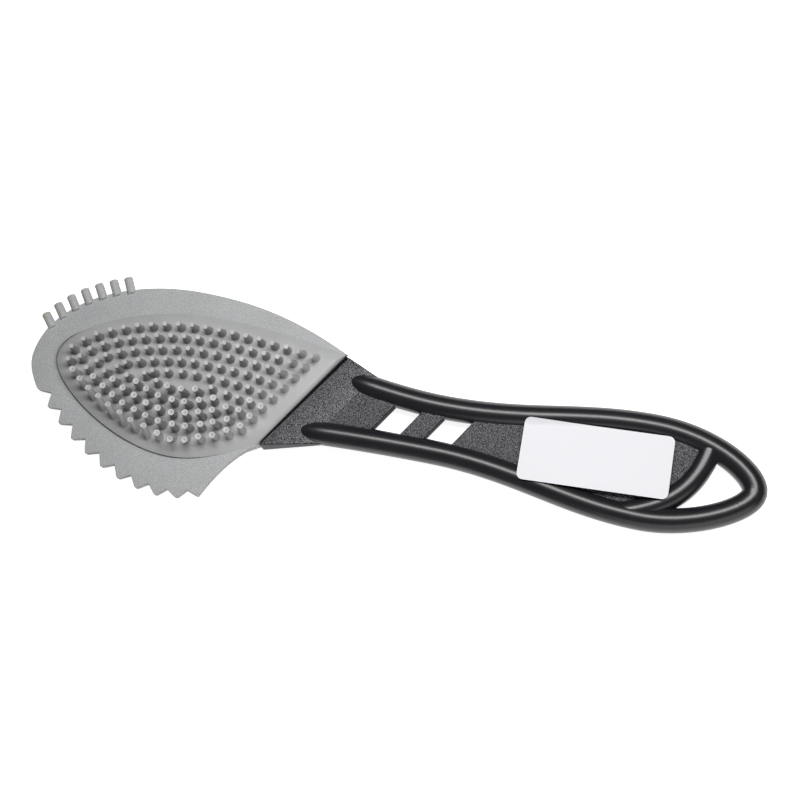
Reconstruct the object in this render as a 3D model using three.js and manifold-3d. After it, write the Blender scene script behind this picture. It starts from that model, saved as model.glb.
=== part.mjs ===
// Suede brush: a leaf-shaped rubber head with pins, teeth and pegs on a black frame handle.
// Millimetres, +Z up. The brush lies on its flat back with the pins up. +X runs from the head
// to the tail of the handle. The plan is drawn around the middle of the slanted neck face.

import * as THREE from 'three';
import { mergeVertices } from 'three/addons/utils/BufferGeometryUtils.js';
import Module from 'manifold-3d';

const wasm = await Module();
wasm.setup();

// Clearance between pieces that meet
const fitGap = 0.3;

// Handle
const handleLength = 148.8;
const railDiameter = 7.8;
const waistWidth = 22.9;
const waistAt = 44;
const gripWidth = 37.5;
const gripWidestFromTail = 37.3;
const gripShift = 0.4;
const ribDiameter = 7.2;
const ribDrop = 13.5;
const ribLean = 1.6;
const ribSweep = 15.5;
const ribLift = 4.4;
const webThickness = 3.8;
const railTongue = 1.6;
const ribTongue = 1.2;
const windowCount = 2;
const firstWindowAt = 26;
const windowLength = 9.2;
const windowPitch = 17;

// Neck, where the handle meets the head on a slant
const neckSlant = 32;
const neckWidth = 40.4;
const neckTaper = 10.2;
const neckShoulder = 12;
const neckShoulderInset = 0.4;
const neckGroove = 1.2;
const upperNeckLip = 0.4;
const lowerNeckLip = 1.7;
const noseLength = 12;
const noseSetback = 2.3;
const upperNoseAt = 14.4;
const lowerNoseAt = 9.4;

// Head plate with its teeth and pegs
const headLength = 94.3;
const plateUpperReach = 29.8;
const plateLowerReach = 39.9;
const plateCrestAt = 43;
const plateLowAt = 39.1;
const plateTipDrop = 2.4;
const plateThickness = 2.4;
const plateBelowPad = 1.3;
const heelAt = 26.8;
const heelReach = 37.4;
const toothCount = 10;
const toothDepth = 3.7;
const lastToothDepth = 2.5;
const toothDepthFade = 3;
const firstToothFromTip = 12.3;
const pegCount = 7;
const pegPitch = 4.94;
const firstPegFromTip = 12.6;
const pegDiameter = 2.6;
const pegProtrusion = 4.4;
const pegRoot = 1.3;
const pegSink = 0.3;
const firstPegLean = 42;
const lastPegLean = 29;

// Front pad with its pins, back pad and the tang between them
const padTipMargin = 8.65;
const padUpperMargin = 7.8;
const padLowerMargin = 13.5;
const padTipDrop = 0.5;
const padCrestAt = 36.3;
const padLowAt = 40.3;
const padRise = 0.6;
const padShoulder = 3.2;
const backShoulder = 1.4;
const tangInset = 5;
const studCount = 3;
const studDiameter = 5;
const studDepth = 1.2;

// Pins
const pinBaseDiameter = 2.5;
const pinTipDiameter = 1.6;
const pinHeight = 5;
const longPinTipDiameter = 2.1;
const longPinHeight = 6;
const longPinsBelow = -4.2;
const pinSpacing = 4.6;
const pinLoopCount = 5;
const pinLoopSpacing = 3.95;
const pinEdgeMargin = 5.2;
const pinNeckMargin = 6.2;

// Paper label stuck across the rails
const labelLength = 47.2;
const labelWidth = 20.4;
const labelCorner = 1.9;
const labelThickness = 0.2;
const labelFromTail = 53.7;
const labelTurn = 3.2;

// Shapes of the curves: how far their pulls reach, as shares of the curve's own run and rise
const gripShape = [0.41, 0.36];
const upperTailShape = [0.57, 0.37];
const lowerTailShape = [0.485, 0.375];
const upperNeckShape = [0.3, 0.47, 0.35];
const lowerNeckShape = [0.28, 0.6, 0.36];
const plateCrestShape = [0.36, 0.74, 0.36];
const plateTipShape = [0.54, 0.57];
const toothedTipShape = [0.45, 0.315];
const heelShape = [0.36, 0.4];
const hollowShape = [0.43, 0.72];
const padCrestShape = [0.27, 0.49, 0.37];
const padUpperTipShape = [0.43, 0.53];
const padLowerTipShape = [0.44, 0.35];
const ribStartShare = 0.35;
const ribEndShare = 0.89;

// Facets
const rodSides = 12;
const rodStep = 3.4;
const noseSteps = 5;
const curveSteps = 16;
const shortCurveSteps = 8;
const tipSteps = 4;
const shoulderSteps = 4;
const pinSides = 6;
const roundSides = 16;
const pegSides = 10;

// Heights and radii that follow from the driving dimensions
const railRadius = railDiameter / 2;
const ribRadius = ribDiameter / 2;
const midPlane = railRadius;
const bodyTop = railDiameter;
const gripWidestAt = handleLength - gripWidestFromTail;
const padHigh = bodyTop + padRise;
const plateHigh = padHigh - plateBelowPad;
const plateLow = plateHigh - plateThickness;
const padLow = plateHigh + fitGap;
const backHigh = plateLow - fitGap;
const studLow = backHigh - studDepth;
const pinRoot = (padLow + padHigh) / 2;

// Directions along the slanted neck face and square to it, towards the head
const slantAngle = THREE.MathUtils.degToRad(90 - neckSlant);
const alongFace = new THREE.Vector2(Math.cos(slantAngle), Math.sin(slantAngle));
const toHead = new THREE.Vector2(-alongFace.y, alongFace.x);

function facePoint(along, headward) {
  const point = alongFace.clone().multiplyScalar(along);
  return point.addScaledVector(toHead, headward);
}

// Solids and geometry

function solidOf(geometry) {
  const bare = geometry.clone();
  bare.deleteAttribute('normal');
  bare.deleteAttribute('uv');
  const merged = mergeVertices(bare);
  const mesh = new wasm.Mesh({
    numProp: 3,
    vertProperties: new Float32Array(merged.attributes.position.array),
    triVerts: new Uint32Array(merged.index.array),
  });
  mesh.merge();
  return new wasm.Manifold(mesh);
}

function geometryOf(solid) {
  const mesh = solid.getMesh();
  const geometry = new THREE.BufferGeometry();
  geometry.setAttribute('position', new THREE.BufferAttribute(mesh.vertProperties, 3));
  geometry.setIndex(new THREE.BufferAttribute(mesh.triVerts, 1));
  geometry.computeVertexNormals();
  return geometry;
}

function prism(outline, low, high) {
  const shape = new THREE.Shape(outline);
  const geometry = new THREE.ExtrudeGeometry(shape, { depth: high - low, bevelEnabled: false });
  geometry.translate(0, 0, low);
  return solidOf(geometry);
}

function post(centre, diameter, low, high) {
  const geometry = new THREE.CylinderGeometry(diameter / 2, diameter / 2, high - low, roundSides);
  geometry.rotateX(Math.PI / 2);
  geometry.translate(centre.x, centre.y, (low + high) / 2);
  return solidOf(geometry);
}

// A closed skin over rings of equal count, with both end rings filled by the cap's triangles
function skin(rings, cap) {
  const count = rings[0].length;
  const positions = rings.flat().flatMap((point) => [point.x, point.y, point.z]);
  const index = [];
  for (let ring = 0; ring + 1 < rings.length; ring += 1) {
    for (let i = 0; i < count; i += 1) {
      const a = ring * count + i;
      const b = ring * count + ((i + 1) % count);
      index.push(a, b, b + count, a, b + count, a + count);
    }
  }
  const last = (rings.length - 1) * count;
  for (const [a, b, c] of cap) {
    index.push(c, b, a);
    index.push(last + a, last + b, last + c);
  }
  const geometry = new THREE.BufferGeometry();
  geometry.setAttribute('position', new THREE.Float32BufferAttribute(positions, 3));
  geometry.setIndex(index);
  return solidOf(geometry);
}

function outlineCap(outline) {
  const faces = THREE.ShapeUtils.triangulateShape(outline, []);
  return faces.map(([a, b, c]) => {
    const area = THREE.ShapeUtils.area([outline[a], outline[b], outline[c]]);
    return area > 0 ? [a, b, c] : [a, c, b];
  });
}

function fanCap(count) {
  const faces = [];
  for (let i = 1; i + 1 < count; i += 1) {
    faces.push([0, i, i + 1]);
  }
  return faces;
}

// Curves of the plan

function bezier(start, startPull, endPull, end) {
  return new THREE.CubicBezierCurve(start, startPull, endPull, end);
}

// From a corner at the neck to a crest where the edge runs level
function crestCurve(corner, crest, [run, rise, pull]) {
  const start = new THREE.Vector2(
    THREE.MathUtils.lerp(corner.x, crest.x, run),
    THREE.MathUtils.lerp(corner.y, crest.y, rise),
  );
  const end = new THREE.Vector2(THREE.MathUtils.lerp(crest.x, corner.x, pull), crest.y);
  return bezier(corner, start, end, crest);
}

// From a crest where the edge runs level to a tip where it runs square across
function tipCurve(crest, tip, [crestPull, tipPull]) {
  const start = new THREE.Vector2(THREE.MathUtils.lerp(crest.x, tip.x, crestPull), crest.y);
  const end = new THREE.Vector2(tip.x, THREE.MathUtils.lerp(tip.y, crest.y, tipPull));
  return bezier(crest, start, end, tip);
}

function reversed(curve) {
  return bezier(curve.v3, curve.v2, curve.v1, curve.v0);
}

function pathOf(curves) {
  const path = new THREE.CurvePath();
  curves.forEach((curve) => path.add(curve));
  return path;
}

// Points along a curve without its last one, so that the next curve can follow on
function openPoints(curve, steps) {
  return curve.getPoints(steps).slice(0, -1);
}

function rightOf(tangent) {
  return new THREE.Vector2(tangent.y, -tangent.x);
}

// Points along a path, moved to its right by a distance
function besidePath(path, distance, steps) {
  const points = [];
  for (let i = 0; i <= steps; i += 1) {
    const point = path.getPoint(i / steps);
    points.push(point.addScaledVector(rightOf(path.getTangent(i / steps)), distance));
  }
  return points;
}

// Rails: one rod from the upper nose round the tail to the lower nose
const gripHalf = gripWidth / 2 - railRadius;
const waistHalf = waistWidth / 2 - railRadius;
const upperNose = facePoint(upperNoseAt, -noseSetback);
const lowerNose = facePoint(-lowerNoseAt, -noseSetback);
const tail = new THREE.Vector2(handleLength - railRadius, -gripShift);

function gripCurve(side) {
  const waist = new THREE.Vector2(waistAt, side * waistHalf);
  const widest = new THREE.Vector2(gripWidestAt, side * gripHalf - gripShift);
  const span = gripWidestAt - waistAt;
  const [waistPull, widestPull] = gripShape;
  const start = waist.clone().add(new THREE.Vector2(span * waistPull, 0));
  const end = widest.clone().sub(new THREE.Vector2(span * widestPull, 0));
  return bezier(waist, start, end, widest);
}

const upperGrip = gripCurve(1);
const lowerGrip = gripCurve(-1);
const upperTail = tipCurve(upperGrip.v3, tail, upperTailShape);
const lowerTail = tipCurve(lowerGrip.v3, tail, lowerTailShape);
const railPath = pathOf([
  crestCurve(upperNose, upperGrip.v0, upperNeckShape),
  upperGrip,
  upperTail,
  reversed(lowerTail),
  reversed(lowerGrip),
  reversed(crestCurve(lowerNose, lowerGrip.v0, lowerNeckShape)),
]);
const railLength = railPath.getLength();

// Cross rib: from the upper rail it sweeps down and forward into the lower rail
const ribStart = upperTail.getPoint(ribStartShare);
const ribEnd = lowerGrip.getPoint(ribEndShare);
const ribPath = bezier(
  ribStart,
  ribStart.clone().add(new THREE.Vector2(-ribLean, -ribDrop)),
  ribEnd.clone().add(new THREE.Vector2(ribSweep, ribLift)),
  ribEnd,
);

function ringAcross(path, share, radius) {
  const centre = path.getPoint(share);
  const right = rightOf(path.getTangent(share));
  const ring = [];
  for (let i = 0; i < rodSides; i += 1) {
    const turn = (i * 2 * Math.PI) / rodSides;
    const side = -radius * Math.cos(turn);
    const spot = centre.clone().addScaledVector(right, side);
    ring.push(new THREE.Vector3(spot.x, spot.y, midPlane + radius * Math.sin(turn)));
  }
  return ring;
}

// The rail rod has a long rounded nose at both ends
function railRod(grow) {
  const radius = railRadius + grow;
  const nose = noseLength + grow;
  const start = fitGap - grow;
  const stations = [];
  for (let i = 1; i < noseSteps; i += 1) {
    const turn = (i * Math.PI) / (2 * noseSteps);
    stations.push([start + nose * (1 - Math.cos(turn)), radius * Math.sin(turn)]);
  }
  const straight = railLength - 2 * (start + nose);
  const steps = Math.ceil(straight / rodStep);
  const middle = [];
  for (let i = 0; i <= steps; i += 1) {
    middle.push([start + nose + (straight * i) / steps, radius]);
  }
  const far = stations.map(([at, size]) => [railLength - at, size]).reverse();
  const all = [...stations, ...middle, ...far];
  const rings = all.map(([at, size]) => ringAcross(railPath, at / railLength, size));
  return skin(rings, fanCap(rodSides));
}

function ribRod() {
  const steps = Math.ceil(ribPath.getLength() / rodStep);
  const rings = [];
  for (let i = 0; i <= steps; i += 1) {
    rings.push(ringAcross(ribPath, i / steps, ribRadius));
  }
  return skin(rings, fanCap(rodSides));
}

// Web: the flat plate inside the rails, with its edge as a tongue in them
const loopSteps = Math.ceil(railLength / rodStep);

function insideRails(distance, low, high) {
  return prism(besidePath(railPath, distance, loopSteps), low, high);
}

function behindRib(distance, low, high) {
  const line = besidePath(ribPath, distance, curveSteps);
  const first = line[0].clone().add(new THREE.Vector2(0, railDiameter));
  const last = line[curveSteps].clone().add(new THREE.Vector2(-railDiameter, 0));
  const farUp = new THREE.Vector2(handleLength + railDiameter, gripWidth);
  const farDown = new THREE.Vector2(handleLength + railDiameter, -gripWidth);
  const nearDown = new THREE.Vector2(last.x, -gripWidth);
  return prism([first, ...line, last, nearDown, farDown, farUp], low, high);
}

function webPlate(grow) {
  const low = midPlane - webThickness / 2 - grow;
  const high = midPlane + webThickness / 2 + grow;
  const plate = insideRails(railRadius - railTongue - grow, low, high);
  return plate.subtract(behindRib(ribRadius - ribTongue - grow, -bodyTop, 2 * bodyTop));
}

function windowCut(at) {
  const reach = alongFace.clone().multiplyScalar(waistWidth);
  const near = new THREE.Vector2(at, 0);
  const far = new THREE.Vector2(at + windowLength, 0);
  const outline = [near.clone().sub(reach), far.clone().sub(reach), far.add(reach), near.add(reach)];
  return prism(outline, -bodyTop, 2 * bodyTop);
}

function windowCuts() {
  const cuts = [];
  for (let i = 0; i < windowCount; i += 1) {
    cuts.push(windowCut(firstWindowAt + i * windowPitch));
  }
  const between = insideRails(railRadius - fitGap, -bodyTop, 2 * bodyTop);
  return cuts.reduce((joined, cut) => joined.add(cut)).intersect(between);
}

// Neck block: full thickness at the slanted face, thinning to the web's thickness
function shoulderPoint(at) {
  const share = at / railLength;
  const outwards = rightOf(railPath.getTangent(share)).multiplyScalar(neckShoulderInset - railRadius);
  return railPath.getPoint(share).add(outwards);
}

function neckBlock() {
  const outline = [
    facePoint(neckWidth / 2, 0),
    facePoint(-neckWidth / 2, 0),
    shoulderPoint(railLength - neckShoulder),
    shoulderPoint(neckShoulder),
  ];
  const halfWeb = webThickness / 2;
  const profile = [
    new THREE.Vector2(neckGroove, 0),
    new THREE.Vector2(neckGroove, bodyTop),
    new THREE.Vector2(0, bodyTop),
    new THREE.Vector2(-neckTaper, midPlane + halfWeb),
    new THREE.Vector2(-handleLength, midPlane + halfWeb),
    new THREE.Vector2(-handleLength, midPlane - halfWeb),
    new THREE.Vector2(-neckTaper, midPlane - halfWeb),
    new THREE.Vector2(0, 0),
  ];
  const reach = handleLength;
  const geometry = new THREE.ExtrudeGeometry(new THREE.Shape(profile), {
    depth: 2 * reach,
    bevelEnabled: false,
  });
  geometry.translate(0, 0, -reach);
  const across = new THREE.Vector3(toHead.x, toHead.y, 0);
  const up = new THREE.Vector3(0, 0, 1);
  const along = across.clone().cross(up);
  geometry.applyMatrix4(new THREE.Matrix4().makeBasis(across, up, along));
  return prism(outline, -bodyTop, 2 * bodyTop).intersect(solidOf(geometry));
}

// Outlines of the head, counterclockwise from the upper neck corner
const upperCorner = facePoint(neckWidth / 2, neckGroove);
const lowerCorner = facePoint(-neckWidth / 2, neckGroove);
const plateUpperCorner = facePoint(neckWidth / 2 + upperNeckLip, neckGroove);
const plateLowerCorner = facePoint(-neckWidth / 2 - lowerNeckLip, neckGroove);
const plateCrest = new THREE.Vector2(-plateCrestAt, plateUpperReach);
const plateTip = new THREE.Vector2(-headLength, -plateTipDrop);
const plateLowest = new THREE.Vector2(-plateLowAt, -plateLowerReach);
const heel = new THREE.Vector2(-heelAt, -heelReach);
const plateNose = tipCurve(plateCrest, plateTip, plateTipShape);

function heelCurve() {
  const [lowPull, heelPull] = heelShape;
  const start = new THREE.Vector2(THREE.MathUtils.lerp(plateLowest.x, heel.x, lowPull), plateLowest.y);
  const end = new THREE.Vector2().lerpVectors(heel, start, heelPull);
  return bezier(plateLowest, start, end, heel);
}

// Teeth: tips on the plate's lower edge, notches halfway between them that get shallower to the heel
function toothedEdge() {
  const edge = pathOf([reversed(tipCurve(plateLowest, plateTip, toothedTipShape)), heelCurve()]);
  const length = edge.getLength();
  const pitch = (length - firstToothFromTip) / toothCount;
  const points = [];
  for (let i = 0; i < tipSteps; i += 1) {
    points.push(edge.getPoint((firstToothFromTip * i) / (length * tipSteps)));
  }
  for (let i = 0; i < toothCount; i += 1) {
    const at = firstToothFromTip + i * pitch;
    const share = (at + pitch / 2) / length;
    const faded = (i / (toothCount - 1)) ** toothDepthFade;
    const depth = THREE.MathUtils.lerp(toothDepth, lastToothDepth, faded);
    const inwards = rightOf(edge.getTangent(share)).multiplyScalar(-depth);
    points.push(edge.getPoint(at / length));
    points.push(edge.getPoint(share).add(inwards));
  }
  return points;
}

function plateOutline() {
  const [run, rise] = hollowShape;
  const hollow = new THREE.Vector2(
    THREE.MathUtils.lerp(heel.x, plateLowerCorner.x, run),
    THREE.MathUtils.lerp(heel.y, plateLowerCorner.y, rise),
  );
  return [
    ...openPoints(crestCurve(plateUpperCorner, plateCrest, plateCrestShape), curveSteps),
    ...openPoints(plateNose, curveSteps),
    ...toothedEdge(),
    ...new THREE.QuadraticBezierCurve(heel, hollow, plateLowerCorner).getPoints(shortCurveSteps),
  ];
}

// How far a neck corner of the pad moves along the face when both its edges move in by one
function cornerPull(edge, side) {
  const angle = edge.getTangent(0).angleTo(alongFace.clone().multiplyScalar(-side));
  return 1 / Math.tan(angle / 2);
}

const padCrest = new THREE.Vector2(-padCrestAt, plateUpperReach - padUpperMargin);
const padTip = new THREE.Vector2(padTipMargin - headLength, -padTipDrop);
const padLowest = new THREE.Vector2(-padLowAt, padLowerMargin - plateLowerReach);
const upperPull = cornerPull(crestCurve(upperCorner, padCrest, padCrestShape), 1);
const lowerPull = cornerPull(crestCurve(lowerCorner, padLowest, padCrestShape), -1);

function padOutline(inset) {
  const crest = padCrest.clone().add(new THREE.Vector2(0, -inset));
  const tip = padTip.clone().add(new THREE.Vector2(inset, 0));
  const lowest = padLowest.clone().add(new THREE.Vector2(0, inset));
  const upper = facePoint(neckWidth / 2 - inset * upperPull, neckGroove + inset);
  const lower = facePoint(inset * lowerPull - neckWidth / 2, neckGroove + inset);
  return [
    ...openPoints(crestCurve(upper, crest, padCrestShape), curveSteps),
    ...openPoints(tipCurve(crest, tip, padUpperTipShape), curveSteps),
    ...openPoints(reversed(tipCurve(lowest, tip, padLowerTipShape)), curveSteps),
    ...reversed(crestCurve(lower, lowest, padCrestShape)).getPoints(curveSteps),
  ];
}

// Tang: the handle's flat tongue inside the head, with holes for the pad's studs
function tangPlate(grow, low, high) {
  const leaf = prism(padOutline(tangInset - grow), low, high);
  const half = neckWidth / 2 - tangInset + grow;
  const bridge = prism(
    [
      facePoint(half, -noseSetback),
      facePoint(half, neckGroove + 2 * tangInset),
      facePoint(-half, neckGroove + 2 * tangInset),
      facePoint(-half, -noseSetback),
    ],
    low,
    high,
  );
  return leaf.add(bridge);
}

function studPlaces() {
  const tangReach = headLength - padTipMargin - tangInset;
  const places = [];
  for (let i = 1; i <= studCount; i += 1) {
    places.push(new THREE.Vector2((-tangReach * i) / (studCount + 1), 0));
  }
  return places;
}

function studs(diameter, low, high) {
  const posts = studPlaces().map((place) => post(place, diameter, low, high));
  return posts.reduce((joined, stud) => joined.add(stud));
}

// Pins: concentric loops inside the pad's edge, evenly spaced from the upper neck corner of each loop
function pinField() {
  const near = neckGroove + pinNeckMargin - pinEdgeMargin;
  const far = near + headLength;
  const corners = [
    facePoint(headLength, near),
    facePoint(headLength, far),
    facePoint(-headLength, far),
    facePoint(-headLength, near),
  ];
  const beyondNeck = wasm.CrossSection.ofPolygons([corners.map((point) => point.toArray())]);
  const pad = wasm.CrossSection.ofPolygons([padOutline(0).map((point) => point.toArray())]);
  return pad.intersect(beyondNeck);
}

function evenPlaces(ring) {
  const points = ring.map(([x, y]) => new THREE.Vector2(x, y));
  const distances = points.map((point) => point.distanceTo(upperCorner));
  const start = distances.indexOf(Math.min(...distances));
  const path = new THREE.Path([...points.slice(start), ...points.slice(0, start)]);
  path.closePath();
  const count = Math.max(1, Math.round(path.getLength() / pinSpacing));
  return path.getSpacedPoints(count).slice(0, -1);
}

function pinPlaces() {
  const field = pinField();
  const places = [];
  for (let loop = 0; loop < pinLoopCount; loop += 1) {
    const inset = pinEdgeMargin + loop * pinLoopSpacing;
    for (const ring of field.offset(-inset, 'Miter').toPolygons()) {
      places.push(...evenPlaces(ring));
    }
  }
  return places.map((place) => ({ place, long: place.y < longPinsBelow }));
}

function pin({ place, long }) {
  const tip = (long ? longPinTipDiameter : pinTipDiameter) / 2;
  const top = padHigh + (long ? longPinHeight : pinHeight);
  const geometry = new THREE.CylinderGeometry(tip, pinBaseDiameter / 2, top - pinRoot, pinSides);
  geometry.rotateX(Math.PI / 2);
  geometry.translate(place.x, place.y, (top + pinRoot) / 2);
  return solidOf(geometry);
}

// A pad with a straight wall and a rounded shoulder, which leaves some wall, at its free face
function padBody(wallEnd, freeFace, shoulder) {
  const outwards = Math.sign(freeFace - wallEnd);
  const rise = Math.min(shoulder, Math.abs(freeFace - wallEnd) - fitGap);
  const rings = [[0, wallEnd]];
  for (let i = 0; i <= shoulderSteps; i += 1) {
    const turn = (i * Math.PI) / (2 * shoulderSteps);
    const inset = shoulder * (1 - Math.cos(turn));
    rings.push([inset, freeFace - outwards * rise * (1 - Math.sin(turn))]);
  }
  const upwards = outwards > 0 ? rings : rings.reverse();
  const outlines = upwards.map(([inset, height]) =>
    padOutline(inset).map((point) => new THREE.Vector3(point.x, point.y, height)));
  return skin(outlines, outlineCap(padOutline(0)));
}

// Pieces

function handleCore() {
  const sockets = railRod(fitGap);
  const block = neckBlock().subtract(sockets);
  const tang = tangPlate(0, plateLow, plateHigh).subtract(
    studs(studDiameter + 2 * fitGap, -bodyTop, 2 * bodyTop),
  );
  return webPlate(0).subtract(windowCuts()).add(block).add(tang);
}

function gripFrame() {
  return railRod(0).add(ribRod()).subtract(webPlate(fitGap));
}

function peg(index) {
  const lean = THREE.MathUtils.degToRad(
    THREE.MathUtils.lerp(firstPegLean, lastPegLean, index / (pegCount - 1)),
  );
  const radius = pegDiameter / 2;
  const length = pegRoot + pegProtrusion;
  const geometry = new THREE.CylinderGeometry(radius, radius, length, pegSides);
  geometry.translate(0, length / 2 - pegRoot, 0);
  const edgeLength = plateNose.getLength();
  const fromTip = firstPegFromTip + index * pegPitch;
  const foot = plateNose.getPointAt(1 - fromTip / edgeLength);
  geometry.rotateZ(lean);
  geometry.translate(foot.x, foot.y, plateHigh - pegSink);
  return solidOf(geometry);
}

function headPlate() {
  const pocket = tangPlate(fitGap, -bodyTop, 2 * bodyTop);
  let plate = prism(plateOutline(), plateLow, plateHigh).subtract(pocket);
  for (let i = 0; i < pegCount; i += 1) {
    plate = plate.add(peg(i));
  }
  return plate;
}

function pinPad() {
  let pad = padBody(padLow, padHigh, padShoulder).add(studs(studDiameter, studLow, pinRoot));
  for (const place of pinPlaces()) {
    pad = pad.add(pin(place));
  }
  return pad;
}

function backPad() {
  const sockets = studs(studDiameter + 2 * fitGap, studLow - fitGap, bodyTop);
  return padBody(backHigh, 0, backShoulder).subtract(sockets);
}

function blankLabel() {
  const x = labelLength / 2 - labelCorner;
  const y = labelWidth / 2 - labelCorner;
  const shape = new THREE.Shape();
  shape.absarc(x, -y, labelCorner, -Math.PI / 2, 0);
  shape.absarc(x, y, labelCorner, 0, Math.PI / 2);
  shape.absarc(-x, y, labelCorner, Math.PI / 2, Math.PI);
  shape.absarc(-x, -y, labelCorner, Math.PI, 1.5 * Math.PI);
  const geometry = new THREE.ExtrudeGeometry(shape, {
    depth: labelThickness,
    bevelEnabled: false,
    curveSegments: shoulderSteps,
  });
  geometry.rotateZ(THREE.MathUtils.degToRad(labelTurn));
  geometry.translate(handleLength - labelFromTail, 0, bodyTop + fitGap);
  return solidOf(geometry);
}

// Materials and assembly

function piece(name, solid, color, roughness) {
  const material = new THREE.MeshStandardMaterial({ color, roughness, metalness: 0 });
  const mesh = new THREE.Mesh(geometryOf(solid), material);
  mesh.name = name;
  return mesh;
}

const brush = new THREE.Group();
brush.add(
  piece('handle_core', handleCore(), 0x4b4b4e, 0.8),
  piece('grip_frame', gripFrame(), 0x26262a, 0.35),
  piece('head_plate', headPlate(), 0x9c9ea1, 0.75),
  piece('pin_pad', pinPad(), 0xa2a4a7, 0.6),
  piece('back_pad', backPad(), 0x97999c, 0.6),
  piece('blank_label', blankLabel(), 0xf2f2f3, 0.5),
);

// The origin is under the middle of the brush, on the surface that it lies on
const box = new THREE.Box3().setFromObject(brush, true);
const middle = box.getCenter(new THREE.Vector3());
brush.position.set(-middle.x, -middle.y, -box.min.z);
brush.updateMatrixWorld(true);

export default brush;
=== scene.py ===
"""Suede brush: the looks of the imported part, built in the part's own frame.

Sizes are in millimetres. They follow the part's source, apart from fine trim such as rounded edges, the
crease, the pegs' thickness and the pins' form. Meshes are written in metres.
"""

import math
import random

import bpy
from mathutils import Matrix, Vector
from mathutils.geometry import interpolate_bezier, intersect_point_line


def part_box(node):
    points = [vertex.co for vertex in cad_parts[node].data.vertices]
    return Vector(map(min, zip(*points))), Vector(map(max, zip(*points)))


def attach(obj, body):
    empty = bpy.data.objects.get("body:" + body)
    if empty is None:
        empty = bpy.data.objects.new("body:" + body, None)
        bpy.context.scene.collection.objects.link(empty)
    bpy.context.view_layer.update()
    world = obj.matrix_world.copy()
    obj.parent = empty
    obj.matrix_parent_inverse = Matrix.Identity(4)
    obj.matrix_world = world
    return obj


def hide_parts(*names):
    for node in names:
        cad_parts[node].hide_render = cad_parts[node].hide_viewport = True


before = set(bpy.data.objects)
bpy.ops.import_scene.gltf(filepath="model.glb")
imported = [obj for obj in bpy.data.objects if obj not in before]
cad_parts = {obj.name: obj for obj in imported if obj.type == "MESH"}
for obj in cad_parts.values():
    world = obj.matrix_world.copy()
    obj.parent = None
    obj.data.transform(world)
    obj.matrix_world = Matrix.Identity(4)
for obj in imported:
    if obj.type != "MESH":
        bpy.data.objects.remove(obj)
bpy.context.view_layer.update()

MM = 0.001

# Handle
handle_length = 148.8
rail_diameter = 7.8
waist_width = 22.9
waist_at = 44
grip_width = 37.5
grip_widest_from_tail = 37.3
grip_shift = 0.4
rib_diameter = 7.2
rib_drop = 13.5
rib_lean = 1.6
rib_sweep = 15.5
rib_lift = 4.4
rib_start_share = 0.35
rib_end_share = 0.89
web_thickness = 3.8
window_count = 2
first_window_at = 26
window_length = 9.2
window_pitch = 17
core_edge = 0.3

# Neck, where the handle meets the head on a slant
neck_slant = 32
neck_width = 40.4
neck_taper = 10.2
neck_shoulder = 12
neck_shoulder_inset = 0.4
neck_groove = 1.2
upper_neck_front = -0.35
lower_neck_front = 0.35
neck_groove_depth = 2
upper_neck_lip = 0.4
lower_neck_lip = 1.7
nose_length = 12
nose_setback = 2.3
upper_nose_at = 14.4
lower_nose_at = 9.4

# Head plate with its teeth and pegs
head_length = 94.3
plate_upper_reach = 29.8
plate_lower_reach = 39.9
plate_crest_at = 43
plate_low_at = 39.1
plate_tip_drop = 2.4
plate_thickness = 2.4
plate_below_pad = 1.3
plate_edge = 0.3
heel_at = 26.8
heel_reach = 37.4
tooth_count = 10
tooth_depth = 3.7
last_tooth_depth = 2.5
tooth_depth_fade = 3
tooth_tip_cut = 0.9
first_tooth_from_tip = 12.3
peg_count = 7
peg_pitch = 4.94
first_peg_from_tip = 12.4
peg_diameter = 3
peg_protrusion = 4.4
peg_root = 1.3
peg_sink = 0.3
peg_edge = 0.3
first_peg_lean = 42
last_peg_lean = 29

# Crease between the plate and the front pad: open at the tip and the teeth, closed elsewhere
crease_gap = 0.4
groove_depth = 1.3
groove_undercut = 0.6
closed_gap = -0.05
lip_width = 1.8
lip_height = 0.3
closed_edge = 0.1
upper_crease_ends = -78
upper_crease_fades = 7.6
lower_crease_ends = -14
lower_crease_fades = 26

# Pads
pad_tip_margin = 8.65
pad_tip_drop = 0.5
pad_upper_margin = 7.8
pad_lower_margin = 13.5
pad_crest_at = 36.3
pad_low_at = 40.3
pad_rise = 0.6
pad_shoulder = 5
pad_neck_shoulder = 1.2
back_shoulder = 1.4
lower_tang_inset = 0.6
tang_slant = 4
fit_gap = 0.3

# Pins
pin_base_diameter = 2.4
pin_flare = 0.35
pin_flare_height = 0.5
pin_tip_diameter = 1.6
long_pin_tip_diameter = 2.1
pin_middle_shares = (0.3, 0.5, 0.7, 0.85)
pin_rim = 0.14
rim_shoulder_in = 0.4
rim_shoulder_down = 0.3
rim_inner_in = 2.5
dimple_depth = 0.05
long_dimple_depth = 0.3
dimple_side_share = 0.4
dimple_side_depth = 0.8
dimple_floor_share = 0.1
pin_bend = 1.5
pin_foot_share = 0.5
pin_wobble = 0.35
long_pin_wobble = 0.7

# Where pins lean together: beside the neck, and beside the crease at the teeth and behind them
neck_side_lean = Vector((-1.15, -0.87))
neck_side_reach = 16
neck_side_fade = 8
neck_side_low_end = -4
neck_side_low_fade = 12
crease_side_reach = 11
crease_side_fade = 6
tooth_side_lean = Vector((-0.8, 2.2))
tooth_side_end = -44
tooth_side_end_fade = 6
tooth_side_top = -6
tooth_side_top_fade = 5
low_side_lean = 1.6
low_side_start = -44
low_side_start_fade = 4
low_side_end = -28
low_side_end_fade = 5

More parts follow.
